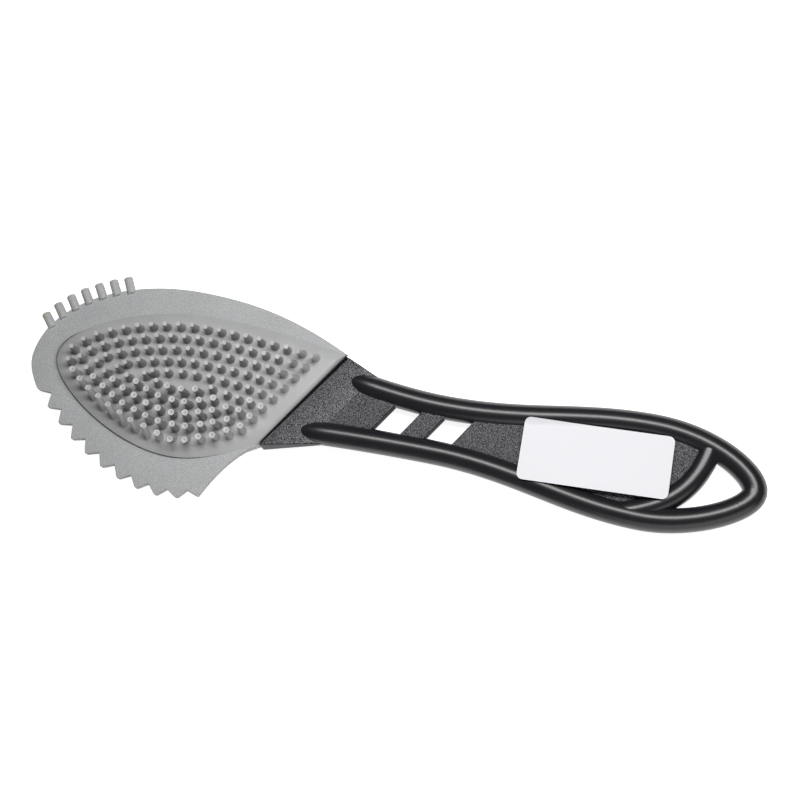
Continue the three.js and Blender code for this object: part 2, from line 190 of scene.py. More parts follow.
# Shades that the meshes carry at their points, as shares of a colour in their material; many are
# painted light and shade
web_shade = 0.57
# The neck block's grain share is lower at its front: a painted shade along the neck gap
block_front_painted_shade = 0.54
block_back_shade = 1
# The first peg's end is tinted beige over this reach from its end, at this share
beige_end_reach = 2.2
beige_end_share = 0.9
# The pins' bodies carry a painted shade for the shade among the pins, lifted where a pin stands open
# and halved on the ring below its rim
open_pin_painted_shade_lift = 0.6
rim_body_shade = 0.5
# Shares of the pins' paler tip colour at the foot of the rim, on the rim and in the dimple: partly a
# painted highlight, partly paler rubber
rim_foot_shade = 0.2
tip_shades = (0.5, 0.45)
long_tip_shades = (1, 0.2)

# Label
label_length = 47.2
label_width = 20.4
label_corner = 1.9
label_from_tail = 53.7
label_turn = 3.2
label_thickness = 0.12
label_height = 7.7
label_tilt = 1.5
label_gap = 0.1
label_softness = 0.5

# Shapes of the plan's curves, as shares of each curve's own run and rise
grip_shape = (0.41, 0.36)
upper_tail_shape = (0.57, 0.37)
lower_tail_shape = (0.485, 0.375)
upper_neck_shape = (0.3, 0.47, 0.35)
lower_neck_shape = (0.28, 0.6, 0.36)
plate_crest_shape = (0.36, 0.74, 0.36)
plate_tip_shape = (0.54, 0.57)
toothed_tip_shape = (0.45, 0.315)
heel_shape = (0.36, 0.4)
hollow_shape = (0.43, 0.72)
pad_crest_shape = (0.27, 0.49, 0.37)
pad_upper_tip_shape = (0.43, 0.53)
pad_lower_tip_shape = (0.44, 0.35)

# A curve towards a single point is pulled two thirds of the way to it from both ends
single_pull = 2 / 3

# Fineness of the meshes
curve_steps = 40
pad_steps = 4 * curve_steps
rod_sides = 36
rod_step = 1.2
pin_sides = 20
round_steps = 6
label_step = 0.6
label_rings = 14
sharp_angle = 35
pin_sharp_angle = 50
level_normal = 0.99

# Heights that follow
rail_radius = rail_diameter / 2
rib_radius = rib_diameter / 2
mid_plane = rail_radius
body_top = rail_diameter
web_low = mid_plane - web_thickness / 2
web_high = mid_plane + web_thickness / 2
pad_high = body_top + pad_rise
plate_high = pad_high - plate_below_pad
plate_low = plate_high - plate_thickness
back_high = plate_low - fit_gap

# The plan is drawn around the middle of the slanted neck face, and the frame tells where that lies
tail_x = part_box("grip_frame")[1].x / MM
pad_crest_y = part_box("pin_pad")[1].y / MM
plan_origin = Vector((tail_x - handle_length, pad_crest_y - plate_upper_reach + pad_upper_margin))
slant_angle = math.radians(90 - neck_slant)
along_face = Vector((math.cos(slant_angle), math.sin(slant_angle)))
to_head = Vector((-along_face.y, along_face.x))


def face_point(along, headward):
    return along_face * along + to_head * headward


# Mesh helpers

def mesh_piece(name, points, faces, material, sharp=sharp_angle):
    """A smooth-shaded piece from plan points in millimetres, riding on the brush."""
    mesh = bpy.data.meshes.new(name)
    place = Vector((plan_origin.x, plan_origin.y, 0))
    mesh.from_pydata([(Vector(point) + place) * MM for point in points], [], faces)
    mesh.shade_smooth()
    mesh.set_sharp_from_angle(angle=math.radians(sharp))
    mesh.materials.append(material)
    piece = bpy.data.objects.new(name, mesh)
    bpy.context.scene.collection.objects.link(piece)
    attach(piece, "root")
    return piece


def shade_points(piece, name, shades):
    """Gives every point of a piece a shade, under a name that its material asks for."""
    attribute = piece.data.attributes.new(name, "FLOAT", "POINT")
    attribute.data.foreach_set("value", shades)


def skin_faces(ring_count, count, first=0):
    """Quads between rings of equal count, with both ends closed."""
    faces = []
    for ring in range(ring_count - 1):
        for i in range(count):
            a = first + ring * count + i
            b = first + ring * count + (i + 1) % count
            faces.append((a, b, b + count, a + count))
    last = first + (ring_count - 1) * count
    faces.append(tuple(reversed(range(first, first + count))))
    faces.append(tuple(range(last, last + count)))
    return faces


def raised(outline, height):
    return [Vector((point.x, point.y, height)) for point in outline]


def inset(outline, distances):
    """The outline moved inwards at each point by its own distance."""
    moved = []
    for i, point in enumerate(outline):
        before = (point - outline[i - 1]).normalized()
        after = (outline[(i + 1) % len(outline)] - point).normalized()
        inwards = Vector((-before.y, before.x)) + Vector((-after.y, after.x))
        moved.append(point + inwards * distances[i] / (1 + before.dot(after)))
    return moved


def quarter_turns(steps):
    return [i * math.pi / (2 * steps) for i in range(steps + 1)]


def rounded_body(outline, low_of, high_of, low_edges, high_edges):
    """Rings of a plate between two surfaces, with a width and depth of rounding at each point."""
    rings = []
    for turn in quarter_turns(round_steps):
        spots = inset(outline, [width * (1 - math.sin(turn)) for width, _ in low_edges])
        drops = [depth * (1 - math.cos(turn)) for _, depth in low_edges]
        rings.append([Vector((s.x, s.y, low_of(s) + drop)) for s, drop in zip(spots, drops)])
    for turn in reversed(quarter_turns(round_steps)):
        spots = inset(outline, [width * (1 - math.sin(turn)) for width, _ in high_edges])
        drops = [depth * (1 - math.cos(turn)) for _, depth in high_edges]
        rings.append([Vector((s.x, s.y, high_of(s) - drop)) for s, drop in zip(spots, drops)])
    return rings


class Skin:
    """Points and faces gathered from closed bodies of rings."""

    def __init__(self):
        self.points = []
        self.faces = []

    def add(self, rings):
        self.faces += skin_faces(len(rings), len(rings[0]), len(self.points))
        self.points += [point for ring in rings for point in ring]


# Curves of the plan

def curve(start, start_pull, end_pull, end, steps=curve_steps):
    return interpolate_bezier(start, start_pull, end_pull, end, steps + 1)


def between(a, b, run, rise):
    return Vector((a.x + (b.x - a.x) * run, a.y + (b.y - a.y) * rise))


def crest_pulls(corner, crest, shape):
    run, rise, pull = shape
    return corner, between(corner, crest, run, rise), between(crest, corner, pull, 0), crest


def tip_pulls(crest, tip, shape):
    crest_pull, tip_pull = shape
    return crest, between(crest, tip, crest_pull, 0), between(tip, crest, 0, tip_pull), tip


def chain(*curves):
    """One list of points along curves that follow on from each other."""
    points = []
    for line in curves:
        points += line[:-1]
    return points + [curves[-1][-1]]


def smooth_step(share):
    share = min(max(share, 0), 1)
    return share * share * (3 - 2 * share)


def distance_to(points, spot):
    """The distance from a spot to a run of points."""
    nearest = math.inf
    for a, b in zip(points, points[1:]):
        foot, share = intersect_point_line(spot, a, b)
        if share <= 0:
            foot = a
        elif share >= 1:
            foot = b
        nearest = min(nearest, (Vector(foot).xy - spot).length)
    return nearest


class Line:
    """A run of plan points that can be asked for a place at a distance along it."""

    def __init__(self, points):
        self.points = points
        self.marks = [0.0]
        for a, b in zip(points, points[1:]):
            self.marks.append(self.marks[-1] + (b - a).length)
        self.length = self.marks[-1]

    def segment(self, at):
        for i in range(len(self.points) - 2):
            if self.marks[i + 1] > at:
                return i
        return len(self.points) - 2

    def point(self, at):
        i = self.segment(at)
        share = (at - self.marks[i]) / (self.marks[i + 1] - self.marks[i])
        return self.points[i].lerp(self.points[i + 1], share)

    def tangent(self, at):
        reach = min(rod_step, self.length / 4)
        ahead = self.point(min(at + reach, self.length))
        behind = self.point(max(at - reach, 0))
        return (ahead - behind).normalized()

    def right(self, at):
        tangent = self.tangent(at)
        return Vector((tangent.y, -tangent.x))

    def even(self, steps):
        return [self.point(self.length * i / steps) for i in range(steps + 1)]


# Rails and rib

grip_half = grip_width / 2 - rail_radius
waist_half = waist_width / 2 - rail_radius
grip_widest_at = handle_length - grip_widest_from_tail
tail = Vector((handle_length - rail_radius, -grip_shift))


def grip_pulls(side):
    waist = Vector((waist_at, side * waist_half))
    widest = Vector((grip_widest_at, side * grip_half - grip_shift))
    span = Vector((grip_widest_at - waist_at, 0))
    return waist, waist + span * grip_shape[0], widest - span * grip_shape[1], widest


def side_rail(side, nose, neck_shape, tail_shape):
    """The middle line of one rail, from its nose at the neck to the tail."""
    grip = grip_pulls(side)
    return chain(
        curve(*crest_pulls(nose, grip[0], neck_shape)),
        curve(*grip),
        curve(*tip_pulls(grip[3], tail, tail_shape)),
    )


upper_nose = face_point(upper_nose_at, -nose_setback)
lower_nose = face_point(-lower_nose_at, -nose_setback)
upper_rail = side_rail(1, upper_nose, upper_neck_shape, upper_tail_shape)
lower_rail = side_rail(-1, lower_nose, lower_neck_shape, lower_tail_shape)


def rib_line():
    upper_tail = curve(*tip_pulls(grip_pulls(1)[3], tail, upper_tail_shape))
    lower_grip = curve(*grip_pulls(-1))
    start = upper_tail[round(rib_start_share * curve_steps)]
    end = lower_grip[round(rib_end_share * curve_steps)]
    start_pull = start + Vector((-rib_lean, -rib_drop))
    end_pull = end + Vector((rib_sweep, rib_lift))
    return Line(curve(start, start_pull, end_pull, end))


def rod_rings(line, stations):
    """Rings of a round rod on the mid plane, for stations of distance and radius."""
    rings = []
    for at, radius in stations:
        centre = line.point(at)
        right = line.right(at)
        ring = []
        for i in range(rod_sides):
            turn = i * 2 * math.pi / rod_sides
            side = centre - right * radius * math.cos(turn)
            ring.append(Vector((side.x, side.y, mid_plane + radius * math.sin(turn))))
        rings.append(ring)
    return rings


def rail_stations(line):
    nose = []
    for turn in quarter_turns(2 * round_steps)[1:-1]:
        nose.append((fit_gap + nose_length * (1 - math.cos(turn)), rail_radius * math.sin(turn)))
    straight = line.length - 2 * (fit_gap + nose_length)
    count = math.ceil(straight / rod_step)
    middle = [(fit_gap + nose_length + straight * i / count, rail_radius) for i in range(count + 1)]
    far = [(line.length - at, radius) for at, radius in reversed(nose)]
    return nose + middle + far


def grip_frame(material):
    skin = Skin()
    rail = Line(chain(upper_rail, lower_rail[::-1]))
    skin.add(rod_rings(rail, rail_stations(rail)))
    rib = rib_line()
    count = math.ceil(rib.length / rod_step)
    skin.add(rod_rings(rib, [(rib.length * i / count, rib_radius) for i in range(count + 1)]))
    piece = mesh_piece("grip_frame_rods", skin.points, skin.faces, material)
    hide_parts("grip_frame")


# Handle core: the neck block, the tang's root in the groove and the web between the rails

def neck_top(point):
    return body_top + min(point.dot(to_head), 0) * (body_top - web_high) / neck_taper


def neck_bottom(point):
    return body_top - neck_top(point)


def even_body(outline, low_of, high_of, edge):
    edges = [(edge, edge)] * len(outline)
    return rounded_body(outline, low_of, high_of, edges, edges)


def neck_block():
    reach = rail_radius - neck_shoulder_inset
    upper = Line(upper_rail)
    lower = Line(lower_rail)
    outline = [
        face_point(neck_width / 2, upper_neck_front),
        face_point(-neck_width / 2, lower_neck_front),
        lower.point(neck_shoulder) + lower.right(neck_shoulder) * reach,
        upper.point(neck_shoulder) - upper.right(neck_shoulder) * reach,
    ]
    return even_body(outline, neck_bottom, neck_top, core_edge)


def tang_root():
    upper = neck_width / 2
    lower = lower_tang_inset - neck_width / 2
    outline = [
        face_point(upper, neck_groove + core_edge),
        face_point(lower, neck_groove + core_edge),
        face_point(lower + tang_slant, -nose_setback),
        face_point(upper, -nose_setback),
    ]
    return even_body(outline, lambda _: plate_low, lambda _: body_top - neck_groove_depth, core_edge)


def slanted(point):
    """Where the line through a point, parallel to the neck face, crosses the handle's middle line."""
    return point.x - point.y * along_face.x / along_face.y


def cut_run(line, near, far):
    """The part of a rail's line between two slanted cuts."""
    run = []
    for a, b in zip(line, line[1:]):
        start = slanted(a)
        end = slanted(b)
        if near <= start <= far:
            run.append(a)
        for cut in (near, far):
            if start < cut < end:
                run.append(a.lerp(b, (cut - start) / (end - start)))
    return run


def web_strips():
    """Outlines of the web before, between and behind the windows. Their ends lie inside the rails."""
    rib = rib_line().points
    upper = [point for point in upper_rail if point.x < rib[0].x]
    lower = [point for point in lower_rail if point.x < rib[-1].x]
    cuts = [neck_taper / 2]
    for i in range(window_count):
        at = first_window_at + i * window_pitch
        cuts += [at, at + window_length]
    strips = []
    for near, far in zip(cuts[::2], cuts[1::2]):
        strips.append(cut_run(lower, near, far) + cut_run(upper, near, far)[::-1])
    lower_end = cut_run(lower, cuts[-1], math.inf)
    upper_end = cut_run(upper, cuts[-1], math.inf)
    return strips + [lower_end + rib[::-1] + upper_end[::-1]]


def handle_core(material):
    skin = Skin()
    skin.add(tang_root())
    plain = len(skin.points)
    skin.add(neck_block())
    block = len(skin.points) - plain
    for strip in web_strips():
        skin.add(even_body(strip, lambda _: web_low, lambda _: web_high, core_edge))
    web = len(skin.points) - plain - block
    piece = mesh_piece("handle_core_skin", skin.points, skin.faces, material)
    # The block's front corners take less grain: a painted shade, darker along the neck gap
    corners = [block_front_painted_shade] * 2 + [block_back_shade] * 2
    block_shades = corners * (block // len(corners))
    shade_points(piece, "grained", [0] * plain + block_shades + [web_shade] * web)
    # The block's sides get a painted light, paler than the web's sides
    shade_points(piece, "side_painted_light", [0] * plain + [1] * block + [0] * web)
    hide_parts("handle_core")


# Head plate

plate_crest = Vector((-plate_crest_at, plate_upper_reach))
plate_tip = Vector((-head_length, -plate_tip_drop))
plate_lowest = Vector((-plate_low_at, -plate_lower_reach))
heel = Vector((-heel_at, -heel_reach))
plate_nose = Line(curve(*tip_pulls(plate_crest, plate_tip, plate_tip_shape)))


def blunt_tip(before, tip, after):
    """A tooth's tip rounded off between its two flanks."""
    start = tip + (before - tip).normalized() * tooth_tip_cut
    end = tip + (after - tip).normalized() * tooth_tip_cut
    return curve(start, start.lerp(tip, single_pull), end.lerp(tip, single_pull), end, round_steps)


def toothed_edge():
    """Teeth: tips on the plate's lower edge, notches halfway between them, shallower to the heel."""
    low_pull, heel_pull = heel_shape
    start = between(plate_lowest, heel, low_pull, 0)
    heel_curve = curve(plate_lowest, start, heel.lerp(start, heel_pull), heel)
    tip_curve = curve(*tip_pulls(plate_lowest, plate_tip, toothed_tip_shape))
    edge = Line(chain(tip_curve[::-1], heel_curve))
    pitch = (edge.length - first_tooth_from_tip) / tooth_count
    points = [edge.point(first_tooth_from_tip * i / round_steps) for i in range(round_steps)]
    before = edge.point(first_tooth_from_tip - pitch / 2)
    for i in range(tooth_count):
        at = first_tooth_from_tip + i * pitch
        fade = (i / (tooth_count - 1)) ** tooth_depth_fade
        depth = tooth_depth + (last_tooth_depth - tooth_depth) * fade
        notch = edge.point(at + pitch / 2) - edge.right(at + pitch / 2) * depth
        points += [*blunt_tip(before, edge.point(at), notch), notch]
        before = notch
    return points


def plate_outline():
    """The plate's outer edge. The hollow starts a little past the heel, whose tip is blunt."""
    upper_end = face_point(neck_width / 2 + upper_neck_lip, neck_groove)
    lower_end = face_point(-neck_width / 2 - lower_neck_lip, neck_groove)
    hollow = between(heel, lower_end, *hollow_shape)
    hollow_pulls = heel.lerp(hollow, single_pull), lower_end.lerp(hollow, single_pull)
    teeth = toothed_edge()
    past_heel = curve(heel, *hollow_pulls, lower_end)[2:]
    return [
        *curve(*crest_pulls(upper_end, plate_crest, plate_crest_shape))[:-1],
        *plate_nose.points[:-1],
        *teeth,
        *blunt_tip(teeth[-1], heel, past_heel[0]),
        *past_heel,
    ]


def openness(point):
    """How open the crease is: fully round the tip and along the teeth, not at all near the neck."""
    if point.y > pad_tip.y:
        return smooth_step((upper_crease_ends - point.x) / upper_crease_fades)
    return smooth_step((lower_crease_ends - point.x) / lower_crease_fades)


def share_between(closed, opened, point):
    return closed + (opened - closed) * openness(point)


def peg(index):
    """Rings of a slanted peg, with one where the beige tint on its end begins."""
    lean = math.radians(first_peg_lean + (last_peg_lean - first_peg_lean) * index / (peg_count - 1))
    radius = peg_diameter / 2
    profile = []
    for turn in quarter_turns(round_steps):
        reach = radius - peg_edge * (1 - math.sin(turn))
        profile.append((reach, peg_edge * (1 - math.cos(turn)) - peg_root))
    profile.append((radius, peg_protrusion - beige_end_reach))
    for turn in reversed(quarter_turns(round_steps)):
        reach = radius - peg_edge * (1 - math.sin(turn))
        profile.append((reach, peg_protrusion - peg_edge * (1 - math.cos(turn))))
    foot = plate_nose.point(plate_nose.length - first_peg_from_tip - index * peg_pitch)
    along = Vector((-math.sin(lean), math.cos(lean)))
    across = Vector((along.y, -along.x))
    rings = []
    for reach, height in profile:
        ring = []
        for i in range(pin_sides):
            turn = -i * 2 * math.pi / pin_sides
            place = foot + along * height + across * reach * math.cos(turn)
            ring.append(Vector((place.x, place.y, plate_high - peg_sink + reach * math.sin(turn))))
        rings.append(ring)
    return rings


def head_plate(material):
    outer = plate_outline()
    pad = pad_outline()
    gaps = [share_between(closed_gap, crease_gap, point) for point in pad]
    inner = inset(pad, [-gap for gap in gaps])[::-1]
    outline = outer + inner
    low_edges = [(plate_edge, plate_edge)] * len(outline)
    lip = [
        (share_between(closed_edge, lip_width, point), share_between(closed_edge, -lip_height, point))
        for point in inner
    ]
    high_edges = [(plate_edge, plate_edge)] * len(outer) + lip
    skin = Skin()
    skin.add(rounded_body(outline, lambda _: plate_low, lambda _: plate_high, low_edges, high_edges))
    piece = mesh_piece("head_plate_skin", skin.points, skin.faces, material)
    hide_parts("head_plate")
    pegs = Skin()
    beige_end = []
    for index in range(peg_count):
        rings = peg(index)
        pegs.add(rings)
        for i in range(len(rings)):
            beige = index == 0 and i > round_steps + 1
            beige_end += [beige_end_share if beige else 0] * pin_sides
    piece = mesh_piece("edge_pegs", pegs.points, pegs.faces, material)
    shade_points(piece, "beige_end", beige_end)


# Pads

pad_crest = Vector((-pad_crest_at, plate_upper_reach - pad_upper_margin))
pad_tip = Vector((pad_tip_margin - head_length, -pad_tip_drop))
pad_lowest = Vector((-pad_low_at, pad_lower_margin - plate_lower_reach))
upper_corner = face_point(neck_width / 2, neck_groove)
lower_corner = face_point(-neck_width / 2, neck_groove)


def pad_outline():
    return [
        *curve(*crest_pulls(upper_corner, pad_crest, pad_crest_shape))[:-1],
        *curve(*tip_pulls(pad_crest, pad_tip, pad_upper_tip_shape))[:-1],
        *curve(*tip_pulls(pad_lowest, pad_tip, pad_lower_tip_shape))[:0:-1],
        *curve(*crest_pulls(lower_corner, pad_lowest, pad_crest_shape))[::-1],
    ]


def pad_ring(distance, neck_distance):
    """The pad's outline moved inwards, and by a distance of its own from the neck."""
    outline = pad_outline()
    before = outline[0] + (outline[0] - outline[1]).normalized() * neck_width
    behind = outline[-1] + (outline[-1] - outline[-2]).normalized() * neck_width
    moved = inset([before, *outline, behind], [distance] * (len(outline) + 2))[1:-1]
    moved = [moved[0] + before - outline[0], *moved, moved[-1] + behind - outline[-1]]
    limit = neck_groove + neck_distance
    run = []
    for a, b in zip(moved, moved[1:]):
        start = a.dot(to_head)
        end = b.dot(to_head)
        if start > limit:
            run.append(a)
        if (start - limit) * (end - limit) < 0:
            run.append(a.lerp(b, (limit - start) / (end - start)))
    return Line(run).even(pad_steps)


def front_rings():
    """The front pad rises from the bottom of its crease in a wide low slope, narrower at the neck."""
    rings = [
        raised(pad_ring(-groove_undercut, 0), plate_low + fit_gap),
        raised(pad_ring(-groove_undercut, 0), plate_high - groove_depth),
        raised(pad_ring(0, 0), plate_high - groove_depth),
    ]
    steps = 2 * round_steps
    for i in range(steps + 1):
        share = i / steps
        ring = pad_ring(pad_shoulder * share, pad_neck_shoulder * share)
        rings.append(raised(ring, pad_high - plate_below_pad * (1 - share) ** 2))
    return rings


def back_rings():
    outline = pad_outline()
    rings = []
    for turn in quarter_turns(round_steps):
        ring = inset(outline, [back_shoulder * (1 - math.sin(turn))] * len(outline))
        rings.append(raised(ring, back_shoulder * (1 - math.cos(turn))))
    return rings + [raised(outline, back_high)]


def pin_places():
    """Tip centres of the pins in the frame, in the plan's millimetres, each with its height."""
    lowest = pad_high + pin_base_diameter
    tips = {}
    place = Vector((plan_origin.x, plan_origin.y, 0))
    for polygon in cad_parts["pin_pad"].data.polygons:
        centre = polygon.center / MM - place
        if centre.z > lowest and polygon.normal.z > level_normal:
            key = next((k for k in tips if (Vector(k) - centre.xy).length < pin_base_diameter), None)
            tips.setdefault(key or tuple(centre.xy), []).append((centre, polygon.area))
    found = []
    for parts in tips.values():
        total = sum(area for _, area in parts)
        found.append(sum((centre * area for centre, area in parts), Vector()) / total)
    return sorted(found, key=lambda tip: (round(tip.y, 2), tip.x))


def pin_profile(height, long):
    """Radius, height, painted body shade and tip tint and highlight of a pin's rings, from its foot to
    its dimple.
    """
    base = pin_base_diameter / 2
    tip = (long_pin_tip_diameter if long else pin_tip_diameter) / 2
    dimple = long_dimple_depth if long else dimple_depth
    bright, inside = long_tip_shades if long else tip_shades
    flare = []
    for turn in quarter_turns(round_steps // 2):
        reach = base + pin_flare * (1 - math.sin(turn))
        flare.append((reach, pin_flare_height * (1 - math.cos(turn)), 1, 0))
    middle = [(base + (tip - base) * share, height * share, 1, 0) for share in pin_middle_shares]
    shoulder = height - pin_rim * rim_shoulder_down
    return [
        (base + pin_flare, -fit_gap, 0, 0),
        *flare,
        *middle,
        (tip, height - pin_rim, rim_body_shade, rim_foot_shade * bright),
        (tip - pin_rim * rim_shoulder_in, shoulder, 0, bright),
        (tip - pin_rim, height, 0, bright),
        (tip - pin_rim * rim_inner_in, shoulder, 0, bright),
        (tip * dimple_side_share, height - dimple * dimple_side_depth, 0, inside),
        (tip * dimple_floor_share, height - dimple, 0, inside),
    ]


def pin_lean(place, long, seed, crease):
    """How far a pin's tip leans away from its foot, and how much of the painted shade on its body it
    keeps: less where it stands open beside the neck and the crease.
    """
    wobble = random.Random(seed)
    turn = wobble.uniform(0, 2 * math.pi)
    reach = (long_pin_wobble if long else pin_wobble) * math.sqrt(wobble.random())
    lean = Vector((math.cos(turn), math.sin(turn))) * reach
    near_neck = smooth_step((neck_side_reach - place.dot(to_head)) / neck_side_fade)
    lean += neck_side_lean * near_neck * smooth_step((place.y - neck_side_low_end) / neck_side_low_fade)
    if not long:
        return lean, 1 - open_pin_painted_shade_lift * near_neck
    nearest = min(crease, key=lambda point: (point - place).length)
    inwards = (place - nearest).normalized()
    by_crease = smooth_step((crease_side_reach - (place - nearest).length) / crease_side_fade)
    tooth_side = smooth_step((tooth_side_end - place.x) / tooth_side_end_fade)
    tooth_side *= smooth_step((tooth_side_top - place.y) / tooth_side_top_fade)
    low_side = smooth_step((place.x - low_side_start) / low_side_start_fade)
    low_side *= smooth_step((low_side_end - place.x) / low_side_end_fade)
    lean += by_crease * (tooth_side_lean * tooth_side - inwards * low_side_lean * low_side)
    return lean, 1 - open_pin_painted_shade_lift * max(near_neck, by_crease)


def pin_rings(place, lean, height, long):
    """Rings of a pin that bends over to its tip, with the painted body shade and the tip's tint and
    highlight at each point.
    """
    rings = []
    shades = []
    for radius, level, body, tip in pin_profile(height, long):
        share = max(level, 0) / height
        centre = place + lean * (share ** pin_bend - pin_foot_share)
        slope = lean * (pin_bend * share ** (pin_bend - 1) / height)
        upwards = Vector((slope.x, slope.y, 1)).normalized()
        side = Vector((1, 0, 0)) - upwards * upwards.x
        side.normalize()
        ahead = upwards.cross(side)
        middle = Vector((centre.x, centre.y, pad_high + level))
        ring = []
        for i in range(pin_sides):
            turn = i * 2 * math.pi / pin_sides
            ring.append(middle + (side * math.cos(turn) + ahead * math.sin(turn)) * radius)
        rings.append(ring)
        shades += [(body, tip)] * pin_sides
    return rings, shades


def pin_pad(material):
    skin = Skin()
    skin.add(front_rings())
    shades = [(0, 0)] * len(skin.points)
    crease = pad_outline()
    places = pin_places()
    tallest = max(place.z for place in places)
    for seed, place in enumerate(places):
        long = place.z > tallest - fit_gap
        lean, painted_shade_share = pin_lean(place.xy, long, seed, crease)
        rings, ring_shades = pin_rings(place.xy, lean, place.z - pad_high, long)
        skin.add(rings)
        # The pins' bodies take their painted shade, less where they stand open to the light
        shades += [(body * painted_shade_share, tip) for body, tip in ring_shades]
    piece = mesh_piece("pin_pad_form", skin.points, skin.faces, material, pin_sharp_angle)
    shade_points(piece, "painted_body_shade", [body for body, _ in shades])
    shade_points(piece, "tip_tint_and_highlight", [tip for _, tip in shades])
    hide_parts("pin_pad")


def back_pad(material):
    skin = Skin()
    skin.add(back_rings())
    piece = mesh_piece("back_pad_form", skin.points, skin.faces, material)
    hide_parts("back_pad")


# Label: a thin sheet that rests on the rails and leans down towards the upper one

label_middle = Vector((handle_length - label_from_tail, 0))


def label_outline():
    corners = []
    for quarter in range(4):
        side_x = 1 if quarter in (0, 1) else -1
        side_y = 1 if quarter in (1, 2) else -1
        out = label_length / 2 - label_corner
        up = label_width / 2 - label_corner
        centre = Vector((side_x * out, side_y * up))
        for turn in quarter_turns(round_steps):
            angle = turn + (quarter - 1) * math.pi / 2
            corners.append(centre + Vector((math.cos(angle), math.sin(angle))) * label_corner)
    edge = Line(corners + corners[:1])
    return edge.even(math.ceil(edge.length / label_step))[:-1]


def rod_height(points, radius, spot):
    """The height of a rod's upper surface over a spot, or of its middle beside it."""
    distance = min(distance_to(points, spot), radius)
    return mid_plane + math.sqrt(radius ** 2 - distance ** 2)


def drape(spot, across):
    """The sheet's height: its leaning plane, lifted softly over the rails and the rib."""
    height = label_height - label_tilt * across / label_width
    rods = [
        (upper_rail, rail_radius),
        (lower_rail, rail_radius),
        (rib_line().points, rib_radius),
    ]
    for points, radius in rods:
        rod = rod_height(points, radius, spot) + label_gap
        height = (height + rod + math.hypot(height - rod, label_softness)) / 2
    return height


def blank_label(material):
    turn = Matrix.Rotation(math.radians(label_turn), 2)
    outline = label_outline()
    lower = []
    upper = []
    for i in range(label_rings):
        share = (i + 1) / label_rings
        lower_ring = []
        upper_ring = []
        for point in outline:
            spot = label_middle + turn @ (point * share)
            height = drape(spot, point.y * share)
            lower_ring.append(Vector((spot.x, spot.y, height)))
            upper_ring.append(Vector((spot.x, spot.y, height + label_thickness)))
        lower.append(lower_ring)
        upper.append(upper_ring)
    skin = Skin()
    skin.add(lower + upper[::-1])
    piece = mesh_piece("blank_label_sheet", skin.points, skin.faces, material)
    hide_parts("blank_label")


# Materials. The noise is turned so that no flat face lies along its lattice

grain_turn = (0.6, 0.4, 0.3)
none = (0, 0, 0)
full = (1, 1, 1)
deep_black = (0.004, 0.004, 0.005)
block_side_painted_light = (0.13, 0.13, 0.135)
beige_end_colour = (0.58, 0.53, 0.42)
pin_body_painted_shade = (0.58, 0.58, 0.58)
pin_tip_tint_and_highlight = (0.78, 0.78, 0.765)


def node_material(name, roughness):
    material = bpy.data.materials.new(name)
    material.use_nodes = True
    shader = material.node_tree.nodes["Principled BSDF"]
    shader.inputs["Roughness"].default_value = roughness
    return material, material.node_tree, shader


def grain(tree, size, detail=2.0):
    """Noise in the object's own space, with features of a size in millimetres."""
    place = tree.nodes.new("ShaderNodeTexCoord")
    turned = tree.nodes.new("ShaderNodeMapping")
    turned.inputs["Rotation"].default_value = grain_turn
    texture = tree.nodes.new("ShaderNodeTexNoise")
    texture.inputs["Scale"].default_value = 1 / (size * MM)
    texture.inputs["Detail"].default_value = detail
    tree.links.new(place.outputs["Object"], turned.inputs["Vector"])
    tree.links.new(turned.outputs["Vector"], texture.inputs["Vector"])
    return texture.outputs["Fac"]


def ramp(tree, value, dark, light, low=0.3, high=0.7):
    """A colour between dark and light while the value runs from low to high."""
    node = tree.nodes.new("ShaderNodeValToRGB")
    node.color_ramp.elements[0].position = low
    node.color_ramp.elements[0].color = (*dark, 1)
    node.color_ramp.elements[1].position = high
    node.color_ramp.elements[1].color = (*light, 1)
    tree.links.new(value, node.inputs["Fac"])
    return node.outputs["Color"]


def mixed(tree, kind, share, a, b):
    """Two colours blended by a share. Each is a colour or another node's result."""
    node = tree.nodes.new("ShaderNodeMix")
    node.data_type = "RGBA"
    node.blend_type = kind
    if isinstance(share, float):
        node.inputs["Factor"].default_value = share
    else:
        tree.links.new(share, node.inputs["Factor"])
    for socket, value in ((node.inputs["A"], a), (node.inputs["B"], b)):
        if isinstance(value, tuple):
            socket.default_value = (*value, 1)
        else:
            tree.links.new(value, socket)
    return node.outputs["Result"]


def painted(tree, name):
    """A shade that the mesh carries at its points."""
    node = tree.nodes.new("ShaderNodeAttribute")
    node.attribute_name = name
    return node.outputs["Fac"]


def facing_up(tree):
    """The upward part of the surface's direction."""
    geometry = tree.nodes.new("ShaderNodeNewGeometry")
    parts = tree.nodes.new("ShaderNodeSeparateXYZ")
    tree.links.new(geometry.outputs["Normal"], parts.inputs["Vector"])
    return parts.outputs["Z"]


def bump(tree, shader, height, strength, depth):
    node = tree.nodes.new("ShaderNodeBump")
    node.inputs["Strength"].default_value = strength
    node.inputs["Distance"].default_value = depth * MM
    tree.links.new(height, node.inputs["Height"])
    tree.links.new(node.outputs["Normal"], shader.inputs["Normal"])


def grained_grey():
    material, tree, shader = node_material("grained_grey", roughness=0.7)
    fine = ramp(tree, grain(tree, size=0.3), (0.41, 0.417, 0.427), (0.68, 0.691, 0.703))
    broad = ramp(tree, grain(tree, size=14), (0.95, 0.95, 0.95), full, low=0.35, high=0.65)
    grey = mixed(tree, "MULTIPLY", 1.0, fine, broad)
    # A beige tint on the first peg's end
    beige = mixed(tree, "MIX", painted(tree, "beige_end"), grey, beige_end_colour)
    tree.links.new(beige, shader.inputs["Base Color"])
    bump(tree, shader, grain(tree, size=0.4), strength=0.3, depth=0.08)
    return material


